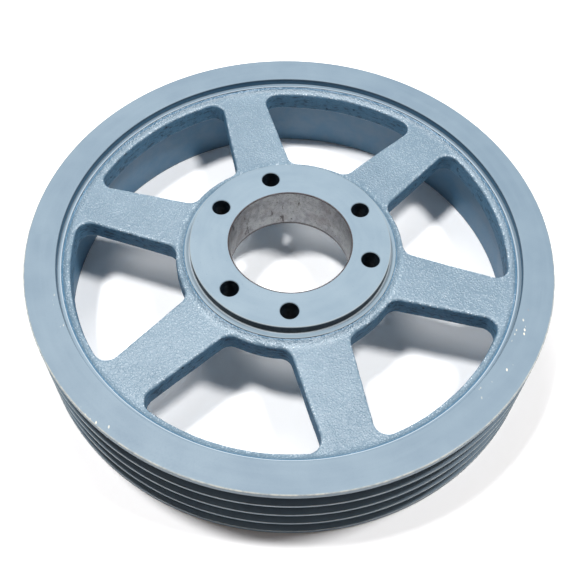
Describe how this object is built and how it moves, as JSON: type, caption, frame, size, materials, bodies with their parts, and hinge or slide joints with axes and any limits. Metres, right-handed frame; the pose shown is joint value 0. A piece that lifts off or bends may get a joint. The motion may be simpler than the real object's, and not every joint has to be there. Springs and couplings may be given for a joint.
{
  "type": "v belt sheave",
  "caption": "Grooved V-belt wheel with flat arms and a flanged hub bored to a taper for a bolted, quick-detachable bushing.",
  "frame": {"origin": "centre of the lower rim face, on the surface the wheel lies on", "axes": "+Z along the wheel's axis towards the raised hub face; +X is 14.1 degrees counter-clockwise of arm 1, seen from above"},
  "size_m": [0.4063, 0.4064, 0.0794],
  "materials": {
    "rim_iron": "machined and painted satin blue-grey",
    "cast_web": "as-cast surface painted satin blue-grey",
    "hub_iron": "machined and painted satin blue-grey, bore left bare"
  },
  "bodies": {
    "root": {"rim_barrel": "rim_iron", "flange_lower": "rim_iron", "ridge_1": "rim_iron", "ridge_2": "rim_iron", "ridge_3": "rim_iron", "flange_upper": "rim_iron", "rim_web": "cast_web", "arm_1": "cast_web", "arm_2": "cast_web", "arm_3": "cast_web", "arm_4": "cast_web", "arm_5": "cast_web", "arm_6": "cast_web", "hub_web": "cast_web", "hub_core": "hub_iron"}
  },
  "joints": []
}
